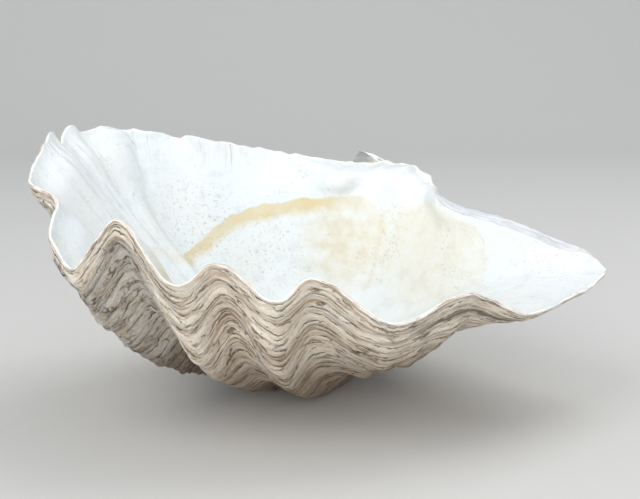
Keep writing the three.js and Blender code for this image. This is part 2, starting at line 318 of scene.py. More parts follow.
def trace_outline():
    """The outline as a fine polyline of a centripetal spline: shares of its length, and points."""
    before = np.roll(OUTLINE, 1, axis=0)
    after = np.roll(OUTLINE, -1, axis=0)
    beyond = np.roll(OUTLINE, -2, axis=0)

    def knot_gap(one, other):
        return np.sqrt(np.linalg.norm(other - one, axis=1))[:, None]

    gap_in = knot_gap(before, OUTLINE)
    gap = knot_gap(OUTLINE, after)
    gap_out = knot_gap(after, beyond)
    slope = (after - OUTLINE) / gap
    leaving = gap * ((OUTLINE - before) / gap_in - (after - before) / (gap_in + gap) + slope)
    arriving = gap * (slope - (beyond - OUTLINE) / (gap + gap_out) + (beyond - after) / gap_out)
    part = (np.arange(SPLINE_STEPS) / SPLINE_STEPS)[None, :, None]
    square = 3 * (after - OUTLINE) - 2 * leaving - arriving
    cube = 2 * (OUTLINE - after) + leaving + arriving
    pieces = OUTLINE[:, None] + leaving[:, None] * part
    pieces = pieces + square[:, None] * part**2 + cube[:, None] * part**3
    points = pieces.reshape(-1, 2)
    points = np.vstack([points, points[:1]])
    lengths = np.linalg.norm(np.diff(points, axis=0), axis=1)
    shares = np.concatenate([[0], np.cumsum(lengths)]) / lengths.sum()
    return shares, points


OUTLINE_SHARES, OUTLINE_POINTS = trace_outline()


def outline_at(share):
    around = np.mod(share, 1)
    across = np.interp(around, OUTLINE_SHARES, OUTLINE_POINTS[:, 0])
    forward = np.interp(around, OUTLINE_SHARES, OUTLINE_POINTS[:, 1])
    return np.stack([across, forward], axis=-1)


def outward_at(share):
    """Unit vector out of the opening."""
    ahead = unit(outline_at(share + OUTLINE_PROBE) - outline_at(share - OUTLINE_PROBE))
    return np.stack([ahead[..., 1], -ahead[..., 0]], axis=-1)


def swing_at(table, share):
    """Values of a table round the outline: a cosine from each listed share to the next."""
    around = np.mod(share, 1)
    after = np.searchsorted(table[:, 0], around, side="right") % len(table)
    last = table[after - 1]
    ahead = table[after]
    part = np.mod(around - last[..., 0], 1) / np.mod(ahead[..., 0] - last[..., 0], 1)
    swing = (1 - np.cos(math.pi * part)) / 2
    return last[..., 1:] + (ahead - last)[..., 1:] * swing[..., None]


def fold_at(share):
    """Swing of the folded edge, outward and down."""
    swings = swing_at(FOLDS, share)
    return swings[..., 0], swings[..., 1]


def edge_at(share):
    """Point of the folded edge, [right, forward, up]."""
    out, down = fold_at(share)
    flat = outline_at(share) + outward_at(share) * out[..., None]
    return np.concatenate([flat, -down[..., None]], axis=-1)


def soft_ramp(turn):
    return RATE_BLEND * np.log1p(np.exp((turn - RATE_CHANGE) / RATE_BLEND))


def stage_size(turn):
    """Size of the stage of growth at a turn, 1 at the edge and 0 at the beak's tip."""
    bend = (RATE_YOUNG - RATE_OLD) * (soft_ramp(turn) - soft_ramp(0.0))
    rounding = np.maximum(0, (turn - BEAK_ROUND) / (BEAK_TURN - BEAK_ROUND))
    return np.exp(-RATE_OLD * turn - bend) * np.sqrt(np.maximum(0, 1 - rounding * rounding))


def lean_at(size):
    """How far a stage of growth leans along the axis toward the beak's tip."""
    return BEAK_SHIFT * (1 - size) ** 2


def grow(edge, turn, size):
    """Turns an edge point about the hinge axis and shrinks it."""
    cos_axis = math.cos(AXIS_TURN)
    sin_axis = math.sin(AXIS_TURN)
    right = edge[..., 0]
    forward = edge[..., 1]
    up = edge[..., 2]
    along = (right * cos_axis + forward * sin_axis) * size - lean_at(size)
    across = -right * sin_axis + forward * cos_axis
    swung = (across * np.cos(turn) + up * np.sin(turn)) * size
    risen = (-across * np.sin(turn) + up * np.cos(turn)) * size
    grown_right = along * cos_axis - swung * sin_axis
    grown_forward = along * sin_axis + swung * cos_axis
    return np.stack([grown_right, grown_forward, risen], axis=-1)


def fullness_at(share):
    return sum(fullness * np.exp(-(((share - at) / width) ** 2)) for at, width, fullness in SWELLS)


def wall_outward(share):
    """Unit vector out of the unfolded wall at the edge."""
    edge = np.insert(outline_at(share), 2, 0, axis=-1)
    older = grow(edge, RIM_PROBE_TURN, stage_size(RIM_PROBE_TURN))
    along = np.insert(outline_at(share + RIM_PROBE) - outline_at(share - RIM_PROBE), 2, 0, axis=-1)
    return unit(np.cross(along, edge - older))


def rib_height(share, turn):
    """Swing of the ribs, eased from each listed turn to the next."""
    swings = swing_at(RIBS, share)
    height = swings[..., 0]
    for index in range(len(RIB_TURNS) - 1):
        part = smooth(RIB_TURNS[index], RIB_TURNS[index + 1], turn)
        height = height + (swings[..., index + 1] - swings[..., index]) * part
    return height


def outside_at(share, turn, ledge=0.0):
    size = stage_size(turn) ** (1 - fullness_at(share)) * (1 + ledge)
    edge = edge_at(share) + wall_outward(share) * rib_height(share, turn)[..., None]
    return grow(edge, turn, size)


def turned(points):
    """Points of the opening along and across the hinge axis."""
    along = points[..., 0] * math.cos(AXIS_TURN) + points[..., 1] * math.sin(AXIS_TURN)
    across = -points[..., 0] * math.sin(AXIS_TURN) + points[..., 1] * math.cos(AXIS_TURN)
    return along, across


def inside_outline(along, across, corner_along, corner_across):
    inside = np.zeros(along.shape, bool)
    next_along = np.roll(corner_along, -1)
    next_across = np.roll(corner_across, -1)
    for index in range(len(corner_along)):
        start = corner_across[index]
        end = next_across[index]
        if start == end:
            continue
        crosses = (start > across) != (end > across)
        part = (across - start) / (end - start)
        crossing = corner_along[index] + part * (next_along[index] - corner_along[index])
        inside ^= crosses & (along < crossing)
    return inside


def outside_below(points):
    """Height of the unfolded outside under points of the opening, and the size of that stage."""
    along, across = turned(points)
    corner_along, corner_across = turned(outline_at(np.arange(SAMPLES) / SAMPLES))
    shallow = np.zeros(along.shape)
    deep = np.full(along.shape, DEEPEST_TURN)
    for _ in range(SEARCH_STEPS):
        turn = (shallow + deep) / 2
        size = stage_size(turn)
        stage_along = (along + lean_at(size)) / size
        stage_across = across / (size * np.cos(turn))
        held = inside_outline(stage_along, stage_across, corner_along, corner_across)
        shallow = np.where(held, turn, shallow)
        deep = np.where(held, deep, turn)
    return -across * np.tan(shallow), stage_size(shallow)


CAVITY_DEPTH = -float(outside_below(CAVITY_CENTRE)[0]) - FLOOR


def rim_width(share):
    return RIM_WIDTH + (RIM_WIDTH_RIGHT - RIM_WIDTH) * stretch(share, RIGHT_EDGE)


def growing_way(share):
    """Unit vector in which the edge was growing."""
    return unit(edge_at(share) - outside_at(share, np.full(share.shape, RIM_PROBE_TURN)))


def rim_corner_at(share):
    """Inner corner of the rim: square to the folded wall, one rim width from the edge."""
    along = edge_at(share + RIM_PROBE) - edge_at(share - RIM_PROBE)
    inward = unit(np.cross(growing_way(share), along))
    return edge_at(share) + inward * rim_width(share)[..., None]


def cavity_at(share, reach):
    """Point of the hollow's smooth form. reach is 1 at the rim and 0 at the middle."""
    way = outline_at(share) - CAVITY_CENTRE
    full = np.linalg.norm(way, axis=-1)
    way = way / full[..., None]
    rim = rim_width(share)
    plate = HINGE_PLATE * stretch(share, HINGE)
    brim = full - rim - plate
    on_plate = smooth(BRIM_REACH, 1, reach)
    inner = brim * reach + plate * on_plate
    depth_share = 1 - reach

    wall_full = WALL_FULL + (WALL_FULL_TIP - WALL_FULL) * stretch(share, SMOOTH_INSIDE)
    wall_part = smooth(0, wall_full, depth_share) * smooth(0, WALL_FADE, reach)
    slimness = np.maximum(0, -fullness_at(share))
    wall = rim + (WALL + SLIM_WALL * slimness - rim) * wall_part
    wall = wall + THICK_WALL * stretch(share, THICK) * smooth(0, THICK_FULL, depth_share)
    outer = np.minimum(full, inner + wall)
    below, size = outside_below(CAVITY_CENTRE + way * outer[..., None])
    shell_up = below + FLOOR * smooth(0, FLOOR_FULL, depth_share)

    bowl = soft_max(0, 1 - (inner / brim) ** BOWL_POWER, BRIM_ROUND)
    corner = CORNER_ROUND * smooth(0, CORNER_FULL, depth_share)
    up = soft_max(shell_up, -CAVITY_DEPTH * bowl, corner)

    out, down = fold_at(share)
    fade_end = np.where(down > 0, INNER_TROUGH_END, INNER_RIDGE_END)
    fade_end = fade_end * (1 - (1 - SMOOTH_INSIDE_FADE) * stretch(share, SMOOTH_INSIDE))
    swing = size * (1 - smooth(0, fade_end, depth_share))
    tooth_side = (np.mod(share - TOOTH_AT + 0.5, 1) - 0.5) / TOOTH_WIDTH
    tooth = 4 * TOOTH_HEIGHT * on_plate * (1 - on_plate) * np.exp(-tooth_side * tooth_side)
    flat = CAVITY_CENTRE + way * inner[..., None] + outward_at(share) * (out * swing)[..., None]
    return np.concatenate([flat, (up - down * swing + tooth)[..., None]], axis=-1)


def inside_at(share, reach):
    """Point of the inside: the hollow's form, led out to the rim's inner corner."""
    lead = 1 - smooth(0, INNER_RIDGE_END, 1 - reach)
    shift = rim_corner_at(share) - cavity_at(share, np.ones_like(share))
    return cavity_at(share, reach) + shift * lead[..., None]


def column_shares():
    """Shares of the outline with more columns along the scalloped front."""
    fine = np.linspace(0, 1, DENSITY_STEPS)
    density = 1 + (FINE_DENSITY - 1) * np.maximum(stretch(fine, FRONT), stretch(fine, FINE_HINGE))
    filled = np.concatenate([[0], np.cumsum((density[1:] + density[:-1]) / 2)])
    return np.interp(np.linspace(0, filled[-1], COLUMNS + 1), filled, fine)


def ledge_feet():
    """Turn of each ledge's foot, from the edge toward the beak, with uneven spacing."""
    draw = np.random.default_rng(SEED)
    gaps = 1 + LEDGE_SPACING_SPREAD * draw.uniform(-1, 1, LEDGES)
    part = np.concatenate([[0], np.cumsum(gaps)]) / gaps.sum()
    return LEDGE_LAST_TURN * part**LEDGE_SPACING_POWER


def outside_rows():
    """Turn, number of ledges from the edge and height in its ledge for every row of the outside."""
    feet = ledge_feet()
    turns = []
    counts = []
    heights = []
    for index in range(LEDGES):
        for part, height in zip(LEDGE_PARTS, LEDGE_PROFILE):
            turns.append(feet[index] + (feet[index + 1] - feet[index]) * part)
            counts.append(index + part)
            heights.append(height)
    for index in range(BEAK_ROWS + 1):
        part = index / BEAK_ROWS
        turns.append(LEDGE_LAST_TURN + (BEAK_LAST_TURN - LEDGE_LAST_TURN) * part)
        counts.append(LEDGES + part * BEAK_COUNT)
        heights.append(0)
    return np.array(turns), np.array(counts), np.array(heights)


def stop_height(turn):
    """Height of the large ledges, 0 at each foot and 1 at each lip."""
    feet = STOP_LAST_TURN * (np.arange(STOPS + 1) / STOPS) ** STOP_SPACING_POWER
    places = np.empty(2 * STOPS + 1)
    places[0::2] = feet
    places[1::2] = feet[:-1] + np.diff(feet) * STOP_RISER
    heights = np.zeros(2 * STOPS + 1)
    heights[1::2] = 1
    return np.interp(turn, places, heights)


def length(name, description, default, most, least=0):
    return FloatProperty(
        name=name, description=description, default=default, min=least, max=most, unit="LENGTH")


class ClamForm(bpy.types.PropertyGroup):
    """Sizes of the surface detail."""

    ledge_height: length("Ledge height", "Step of a fine ledge near the front edge", 0.0013, 0.004)
    stop_height: length("Growth stop height", "Step of a large ledge near the front edge", 0.0022, 0.006)
    lip_bulge: length("Lip bulge", "Height of the rounded lip above the flat rim", 0.0009, 0.003)
    lip_chips: length("Lip chips", "Unevenness of the lip along the edge", 0.0005, 0.003)
    crust_depth: length("Crust depth", "Relief of the crusted groove at the left", 0.0035, 0.008)
    crust_size: length("Crust size", "Size of the lumps in the crust", 0.008, 0.05, 0.001)
    wear_depth: length("Wear depth", "Uneven wear over the whole outside", 0.0014, 0.006)
    wear_size: length("Wear size", "Size of the worn hollows on the outside", 0.02, 0.1, 0.001)


def colour(name, description, default):
    return FloatVectorProperty(
        name=name, description=description, default=default, subtype="COLOR", size=4, min=0, max=1)


class ClamColours(bpy.types.PropertyGroup):
    """Colours of the shell."""

    beige: colour("Beige", "Main colour of the ledges", (0.93, 0.805, 0.65, 1))
    umber: colour("Umber", "Darker growth bands and the underside", (0.49, 0.36, 0.245, 1))
    # Cream also paints the highlight on the lip of each ledge.
    cream: colour("Cream", "Fresh lips of the ledges and the rim", (0.99, 0.955, 0.88, 1))
    # Crevice is painted shade: the dark laid in ledge feet, crust hollows, small pits and thin layer
    # lines.
    crevice_shade: colour("Crevice", "Dirt at the foot of each ledge", (0.085, 0.057, 0.04, 1))
    # Earth is partly a stain and partly painted shade low on the outside.
    earth_and_shade: colour("Earth", "Stain low on the outside", (0.2, 0.12, 0.065, 1))
    chalk: colour("Chalk", "Weathered crust and the worn beak", (0.94, 0.9, 0.83, 1))
    # Bleached white, partly painted light for the shaded beak.
    bleach_and_light: colour("Bleached white", "Oldest part of the beak", (0.9, 0.95, 0.97, 1))
    lilac: colour("Lilac grey", "Layers of the worn edge beside the hinge", (0.65, 0.65, 0.68, 1))
    white: colour("White", "Lining of the hollow", (0.738, 0.775, 0.786, 1))
    ivory: colour("Ivory", "Middle of the lining", (0.735, 0.695, 0.585, 1))
    amber: colour("Amber", "Band where the mantle was fixed", (0.665, 0.555, 0.32, 1))
    # Cool grey also paints the shade line where the rim meets the lining.
    shade: colour("Cool grey", "Specks and furrows of the lining", (0.46, 0.5, 0.53, 1))


class ClamStage(bpy.types.PropertyGroup):
    """Floor, light and camera."""

    floor: colour("Floor", "Colour of the floor", (0.6, 0.595, 0.58, 1))
    sky: colour("Ambient colour", "Colour of the even light from all sides", (0.93, 0.965, 1, 1))
    ambient: FloatProperty(
        name="Ambient light", description="Strength of the even light from all sides",
        default=0.76, min=0, max=5)
    lens: FloatProperty(
        name="Lens", description="Focal length on a 36 mm sensor", default=70, min=10, max=200)


class Tree:
    """Short calls to wire one node tree."""

    def __init__(self, tree):
        self.tree = tree

    def add(self, kind, **settings):
        made = self.tree.nodes.new(kind)
        for name, value in settings.items():
            setattr(made, name, value)
        return made

    def feed(self, socket, value):
        if isinstance(value, bpy.types.NodeSocket):
            self.tree.links.new(value, socket)
        else:
            socket.default_value = value

    def math(self, operation, *values):
        made = self.add("ShaderNodeMath", operation=operation)
        for socket, value in zip(made.inputs, values):
            self.feed(socket, value)
        return made.outputs[0]

    def times(self, one, other):
        return self.math("MULTIPLY", one, other)

    def times_plus(self, value, factor, base):
        return self.math("MULTIPLY_ADD", value, factor, base)

    def ease(self, value, start, end, low=0.0, high=1.0):
        made = self.add("ShaderNodeMapRange", interpolation_type="SMOOTHSTEP")
        for socket, given in zip(made.inputs, (value, start, end, low, high)):
            self.feed(socket, given)
        return made.outputs[0]

    def mix(self, factor, one, other):
        made = self.add("ShaderNodeMix", data_type="RGBA")
        self.feed(made.inputs[0], factor)
        self.feed(made.inputs[6], one)
        self.feed(made.inputs[7], other)
        return made.outputs[2]

    def paint(self, tone, mask, strength, paint):
        """A tone with paint of the given strength laid over it where the mask is."""
        return self.mix(self.times(mask, strength), tone, paint)

    def noise(self, vector, scale, detail=3.0, roughness=0.5):
        made = self.add("ShaderNodeTexNoise")
        self.feed(made.inputs["Vector"], vector)
        self.feed(made.inputs["Scale"], scale)
        self.feed(made.inputs["Detail"], detail)
        self.feed(made.inputs["Roughness"], roughness)
        return made.outputs[0]

    def streaks(self, place, density, line, detail=3.0, roughness=0.6):
        """Noise drawn out along the lines of equal line value."""
        made = self.add("ShaderNodeTexNoise", noise_dimensions="4D")
        self.feed(made.inputs["Vector"], self.scaled(place, density))
        self.feed(made.inputs["W"], line)
        self.feed(made.inputs["Scale"], 1.0)
        self.feed(made.inputs["Detail"], detail)
        self.feed(made.inputs["Roughness"], roughness)
        return made.outputs[0]

    def scaled(self, vector, factor):
        made = self.add("ShaderNodeVectorMath", operation="SCALE")
        self.feed(made.inputs[0], vector)
        self.feed(made.inputs["Scale"], factor)
        return made.outputs[0]

    def near(self, place, centre, full, end):
        """1 within full of a point, easing to 0 at end."""
        made = self.add("ShaderNodeVectorMath", operation="DISTANCE")
        self.feed(made.inputs[0], place)
        self.feed(made.inputs[1], centre)
        return self.ease(made.outputs["Value"], full, end, 1.0, 0.0)

    def thread(self, value, width):
        """Thin lines where a noise crosses its middle."""
        return self.ease(self.math("ABSOLUTE", self.math("SUBTRACT", value, 0.5)), 0.0, width, 1.0, 0.0)

    def bump(self, height, distance, strength=1.0):
        made = self.add("ShaderNodeBump")
        self.feed(made.inputs["Height"], height)
        self.feed(made.inputs["Distance"], distance)
        self.feed(made.inputs["Strength"], strength)
        return made.outputs[0]

    def place(self):
        return self.add("ShaderNodeTexCoord").outputs["Object"]

    def attribute(self, name):
        return self.add("ShaderNodeAttribute", attribute_name=name).outputs["Fac"]

    def group(self, tree, **given):
        made = self.add("ShaderNodeGroup", node_tree=tree)
        for name, value in given.items():
            self.feed(made.inputs[name], value)
        return made.outputs


def new_material(name):
    material = bpy.data.materials.new(name)
    material.use_nodes = True
    shader = material.node_tree.nodes["Principled BSDF"]
    return material, Tree(material.node_tree), shader


def new_group(name, inputs, outputs):
    group = bpy.data.node_groups.new(name, "ShaderNodeTree")
    for title in inputs:
        group.interface.new_socket(title, in_out="INPUT", socket_type="NodeSocketFloat")
    for title in outputs:
        group.interface.new_socket(title, in_out="OUTPUT", socket_type="NodeSocketFloat")
    tree = Tree(group)
    return group, tree, tree.add("NodeGroupInput").outputs, tree.add("NodeGroupOutput").inputs


def grain_group():
    """Grain of bare shell: fine grain, soft blotches and small pits."""
    group, tree, _, result = new_group("shell_grain", (), ("Grain", "Blotch", "Pit"))
    place = tree.place()
    tree.feed(result["Grain"], tree.noise(place, 1400, 2, 0.6))
    tree.feed(result["Blotch"], tree.noise(place, 95, 5, 0.62))
    holes = tree.noise(place, 330, 2, 0.5)
    tree.feed(result["Pit"], tree.ease(holes, 0.3, 0.24))
    return group


def streak_group():
    """Streaks along growth lines: fine and broad tones, and thin threads that come and go."""
    group, tree, given, result = new_group("growth_streaks", ("Line",), ("Fine", "Broad", "Thread"))
    place = tree.place()
    line = given["Line"]
    tree.feed(result["Fine"], tree.streaks(place, 58, tree.times(line, 1.7), 4, 0.66))
    tree.feed(result["Broad"], tree.streaks(place, 16, tree.times(line, 0.42), 3, 0.55))
    winding = tree.streaks(place, 45, tree.times(line, 1.15), 2, 0.5)
    fade = tree.ease(tree.streaks(place, 60, tree.times(line, 0.5), 2, 0.6), 0.46, 0.6)
    tree.feed(result["Thread"], tree.times(tree.thread(winding, 0.035), fade))
    return group


def outside_material(colours, grain, streaks):
    """Ledged, weathered outside: growth bands, cream lips with painted highlights, painted shade in the
    crevices, a low stain partly of painted shade and a chalky crust.
    """
    material, tree, shader = new_material("ledged_outside")
    place = tree.place()
    crust = tree.attribute("crust")
    kept = tree.times_plus(tree.attribute("rubbed"), -0.75, 1.0)
    grains = tree.group(grain)
    jitter = tree.times(tree.math("SUBTRACT", tree.noise(place, 105, 4, 0.6), 0.5), 1.2)
    ledge = tree.math("ADD", tree.attribute("ledge"), jitter)
    lines = tree.group(streaks, Line=ledge)
    height = tree.add("ShaderNodeSeparateXYZ")
    tree.feed(height.inputs[0], place)

    tone = tree.mix(tree.ease(lines["Broad"], 0.34, 0.56), colours.umber, colours.beige)
    darker = tree.mix(tree.times(kept, 0.75), tone, colours.umber)
    tone = tree.mix(tree.ease(lines["Fine"], 0.38, 0.5), darker, tone)
    tone = tree.paint(tone, tree.ease(lines["Fine"], 0.5, 0.66), 0.85, colours.cream)

    flow = tree.times(ledge, 1.3)
    long_wear = tree.streaks(place, 70, flow, 6, 0.7)
    crumbs = tree.streaks(place, 130, flow, 6, 0.74)
    worn = tree.times_plus(crust, tree.math("SUBTRACT", crumbs, long_wear), long_wear)
    flaked = tree.times(tree.times_plus(crust, 0.65, 0.35), kept)
    lifted = tree.times_plus(crust, 0.02, worn)
    chalky = tree.times(tree.ease(lifted, 0.49, 0.59), tree.times(flaked, 0.95))
    tone = tree.mix(chalky, tone, colours.chalk)
    # Painted shade in the worn hollows of the crust.
    hollow = tree.times(tree.ease(worn, 0.44, 0.35), flaked)
    tone = tree.paint(tone, hollow, 0.6, colours.crevice_shade)

    part = tree.math("FRACT", ledge)
    # Painted highlight: cream laid on the lip of each ledge.
    lip = tree.times(tree.ease(part, 0.1, 0.3), tree.ease(part, 0.7, 0.4))
    tone = tree.paint(tone, lip, 0.4, colours.cream)
    fresh = tree.times_plus(grains["Blotch"], 2.4, ledge)
    fresh = tree.ease(tree.times_plus(tree.attribute("crest"), 2.5, fresh), 2.4, 1.0)
    tone = tree.paint(tone, fresh, 0.7, colours.cream)
    # Darker and browner toward the bottom: a stain low on the outside, partly painted shade near the
    # floor.
    stain_and_shade = tree.times_plus(tree.noise(place, 30, 4, 0.6), 0.06, height.outputs[2])
    tone = tree.mix(tree.ease(stain_and_shade, 0.115, 0.04, 0.0, 0.8), tone, colours.earth_and_shade)

    # Painted shade at the foot of each ledge, along thin threads and under one ledge in the gap stretch.
    foot = tree.ease(tree.math("PINGPONG", part, 0.5), 0.13, 0.02)
    open_foot = tree.ease(tree.streaks(place, 55, tree.times(ledge, 0.8), 3), 0.46, 0.6)
    crevice_shade_mask = tree.math("MAXIMUM", tree.times(foot, open_foot), lines["Thread"])
    from_gap = tree.math("ABSOLUTE", tree.math("SUBTRACT", ledge, GAP_LEDGE))
    gap = tree.times(tree.ease(from_gap, 0.6, 0.15), tree.attribute("gap"))
    crevice_shade_mask = tree.math("MAXIMUM", crevice_shade_mask, gap)
    crevice_shade_mask = tree.times(crevice_shade_mask, kept)
    tone = tree.paint(tone, crevice_shade_mask, 0.85, colours.crevice_shade)

    beak = tree.ease(tree.math("ADD", ledge, tree.times(grains["Blotch"], 24)), 50, 68)
    bare = tree.mix(tree.ease(lines["Fine"], 0.32, 0.46), colours.lilac, colours.chalk)
    tone = tree.paint(tone, beak, 0.85, bare)
    # Bleached white on the oldest part of the beak, partly painted light that brightens the shaded beak.
    oldest = tree.ease(tree.times_plus(grains["Blotch"], 12, ledge), 76, 86)
    tone = tree.paint(tone, oldest, 0.85, colours.bleach_and_light)
    tone = tree.mix(tree.ease(grains["Grain"], 0.3, 0.7, 0.0, 0.12), tone, colours.umber)
    # Painted shade in the small pits.
    tone = tree.paint(tone, grains["Pit"], 0.6, colours.crevice_shade)
    tree.feed(shader.inputs["Base Color"], tone)
    tree.feed(shader.inputs["Roughness"], tree.ease(lines["Fine"], 0.3, 0.7, 0.9, 0.72))

    relief = tree.math("SUBTRACT", lines["Fine"], tree.times(crevice_shade_mask, 0.35))
    relief = tree.math("ADD", relief, tree.times(grains["Grain"], 0.12))
    relief = tree.math("ADD", relief, tree.times(worn, tree.times_plus(crust, 2.0, 0.9)))
    relief = tree.math("SUBTRACT", relief, tree.times(grains["Pit"], 0.3))
    tree.feed(shader.inputs["Normal"], tree.bump(tree.times(relief, kept), 0.0034))
    return material


def rim_material(colours, grain, streaks):
    """Cream edge of the wall, in thin layers, grey where it is worn beside the hinge."""
    material, tree, shader = new_material("worn_rim")
    across = tree.attribute("across")
    right = tree.attribute("right_edge")
    grains = tree.group(grain)
    lines = tree.group(streaks, Line=tree.times(across, 2.2))
    cream = tree.mix(tree.ease(grains["Blotch"], 0.35, 0.65), colours.cream, colours.white)
    grey = tree.mix(tree.ease(lines["Fine"], 0.35, 0.62), colours.shade, colours.lilac)
    grey = tree.mix(tree.times(tree.ease(lines["Broad"], 0.48, 0.62), 0.7), grey, colours.white)
    tone = tree.mix(right, cream, grey)
    layer = tree.times(lines["Thread"], tree.times_plus(right, 0.3, 0.35))
    tone = tree.mix(layer, tone, colours.umber)
    crest = tree.attribute("crest")
    bare = tree.times_plus(grains["Blotch"], 0.5, tree.times_plus(crest, -0.45, across))
    outer = tree.times(tree.ease(bare, 0.8, 0.5), tree.attribute("front"))
    lipped = tree.mix(tree.ease(lines["Fine"], 0.42, 0.56), colours.umber, colours.chalk)
    # Painted shade in the thin layer lines of the outer rim.
    lipped = tree.mix(tree.times(lines["Thread"], 0.8), lipped, colours.crevice_shade)
    tone = tree.paint(tone, outer, 0.9, lipped)
    # Painted shade: a soft grey line where the rim meets the lining.
    inner = tree.times(tree.ease(across, 0.8, 1.0), tree.ease(grains["Blotch"], 0.4, 0.6))
    tone = tree.paint(tone, inner, 0.3, colours.shade)
    tree.feed(shader.inputs["Base Color"], tone)
    tree.feed(shader.inputs["Roughness"], tree.ease(grains["Blotch"], 0.3, 0.7, 0.5, 0.75))
    relief = tree.math("ADD", lines["Fine"], tree.times(grains["Grain"], 0.15))
    tree.feed(shader.inputs["Normal"], tree.bump(relief, 0.001))
    return material


def lining_material(colours, grain):
    """Pale lining: ivory middle, amber band of the mantle, furrows and specks."""
    material, tree, shader = new_material("white_lining")
    place = tree.place()
    grains = tree.group(grain)
    soft = tree.noise(place, 26, 4, 0.55)
    pallial = tree.attribute("pallial")
    scar = tree.attribute("scar")

    tone = tree.mix(tree.ease(soft, 0.4, 0.7, 0.0, 0.25), colours.white, colours.ivory)
    for centre, full, end, strength in IVORY_PATCHES:
        rough = tree.times(tree.ease(grains["Blotch"], 0.3, 0.65), strength)
        patch = tree.times(tree.near(place, centre, full, end), rough)
        tone = tree.mix(patch, tone, colours.ivory)
    tan = tree.times(tree.near(place, *TAN_PATCH), tree.ease(grains["Blotch"], 0.25, 0.55))
    tone = tree.paint(tone, tan, 0.42, colours.amber)

    stain = tree.times(tree.near(place, *STAIN), tree.ease(grains["Blotch"], 0.3, 0.55))
    tone = tree.paint(tone, stain, 0.7, colours.amber)

    stray = tree.times_plus(tree.math("SUBTRACT", soft, 0.5), 14.0, pallial)
    stray = tree.times_plus(tree.math("SUBTRACT", grains["Blotch"], 0.5), 6.0, stray)
    band = tree.times(tree.ease(stray, 5.5, 3.5), tree.ease(stray, -10.0, -2.0))
    seen = tree.ease(tree.noise(place, 45, 3), 0.25, 0.6, 0.7, 1.0)
    band = tree.times(tree.times(band, seen), tree.attribute("band_strength"))
    tone = tree.mix(band, tone, colours.amber)
    wander = tree.times_plus(soft, 6.0, scar)
    scarred = tree.times(tree.near(place, *SCAR), tree.attribute("scarred"))
    scarred = tree.times(scarred, tree.ease(grains["Blotch"], 0.3, 0.6, 0.3, 0.75))
    tone = tree.mix(scarred, tone, colours.ivory)
    # Faint amber line along the scar line: the scar's edge, and near its start painted shade of a soft
    # ridge.
    ring = tree.ease(tree.math("ABSOLUTE", wander), 4.0, 0.5)
    tone = tree.paint(tone, ring, 0.16, colours.amber)
    rings = tree.ease(tree.math("PINGPONG", wander, 1.7), 0.55, 0.0)
    rings = tree.times(rings, tree.ease(tree.math("ABSOLUTE", wander), 8.0, 3.0))
    rings = tree.times(rings, tree.ease(tree.noise(place, 55, 3), 0.42, 0.6))
    rings = tree.times(rings, tree.near(place, *RINGS))
    tone = tree.paint(tone, rings, 0.55, colours.shade)

    streak = tree.add("ShaderNodeCombineXYZ")
    tree.feed(streak.inputs[0], tree.times(tree.attribute("around"), 150.0))
    tree.feed(streak.inputs[1], tree.times(tree.attribute("reach"), 4.0))
    furrows = tree.noise(streak.outputs[0], 1.0, 3, 0.6)
    furrow = tree.times(tree.ease(furrows, 0.52, 0.68), tree.attribute("furrow"))
    tone = tree.paint(tone, furrow, 0.16, colours.shade)

    speck = tree.ease(tree.noise(place, 420, 3, 0.6), 0.55, 0.66)
    where = tree.ease(tree.noise(place, 38, 3), 0.5, 0.66, 0.0, 0.6)
    for centre, full, end, strength in SPECKS:
        where = tree.math("MAXIMUM", where, tree.times(tree.near(place, centre, full, end), strength))
    speck = tree.times(speck, where)
    tone = tree.paint(tone, speck, 0.75, tree.mix(0.45, colours.shade, colours.umber))
    cloudy = tree.times(tree.ease(grains["Blotch"], 0.5, 0.68), 0.2)
    tone = tree.mix(cloudy, tone, colours.shade)
    tree.feed(shader.inputs["Base Color"], tone)
    tree.feed(shader.inputs["Roughness"], tree.ease(grains["Blotch"], 0.3, 0.7, 0.38, 0.6))

    relief = tree.times_plus(grains["Grain"], 0.12, grains["Blotch"])
    relief = tree.math("SUBTRACT", relief, tree.times(furrow, 0.8))
    tree.feed(shader.inputs["Normal"], tree.bump(relief, 0.0007))
    return material


def inside_rows():
    """Reach of every row of the inside, from the middle to just short of the rim."""
    bowl = BRIM_REACH * (1 - (1 - np.arange(BOWL_ROWS) / BOWL_ROWS) ** BOWL_ROW_POWER)
    plate = BRIM_REACH + (1 - BRIM_REACH) * np.arange(PLATE_ROWS) / PLATE_ROWS
    return np.concatenate([bowl, plate])


def chip_height(share, form):
    """Unevenness of the edge: chips all round it and the scallops at the back."""
    chips = ripple(share, np.zeros_like(share), CHIP_WAVES) * form.lip_chips / MM
    return chips + swing_at(SCALLOPS, share)[..., 0]


def smoothed_round(points):
    """Points averaged along the rows, round the outline."""
    ring = points[:, :-1]
    steps = np.arange(-EASE_COLUMNS, EASE_COLUMNS + 1)
    weights = np.cos(steps / (EASE_COLUMNS + 1) * math.pi / 2) ** 2
    total = sum(weight * np.roll(ring, step, axis=1) for step, weight in zip(steps, weights))
    mean = total / weights.sum()
    return np.concatenate([mean, mean[:, :1]], axis=1)


def inside_points(shares, reaches, form):
    share, reach = np.meshgrid(shares, reaches)
    points = inside_at(share, reach)
    easing = np.maximum(stretch(share, HINGE_EASE), stretch(share, TIP_EASE))
    easing = easing * (1 - smooth(BRIM_REACH - EASE_FADE, BRIM_REACH, reach))
    points = points + (smoothed_round(points) - points) * easing[..., None]
    points[0] = [*CAVITY_CENTRE, points[1, :, 2].mean()]
    chips = chip_height(share, form) * smooth(BRIM_REACH, 1, reach)
    return points + growing_way(share) * chips[..., None]


def rim_points(shares, form):
    share, across = np.meshgrid(shares, np.linspace(1, 0, RIM_ROWS + 1)[:-1])
    edge = edge_at(share)
    flat = edge + (rim_corner_at(share) - edge) * across[..., None]
    lift = chip_height(share, form) + np.sin(math.pi * across) * form.lip_bulge / MM
    return flat + growing_way(share) * lift[..., None]


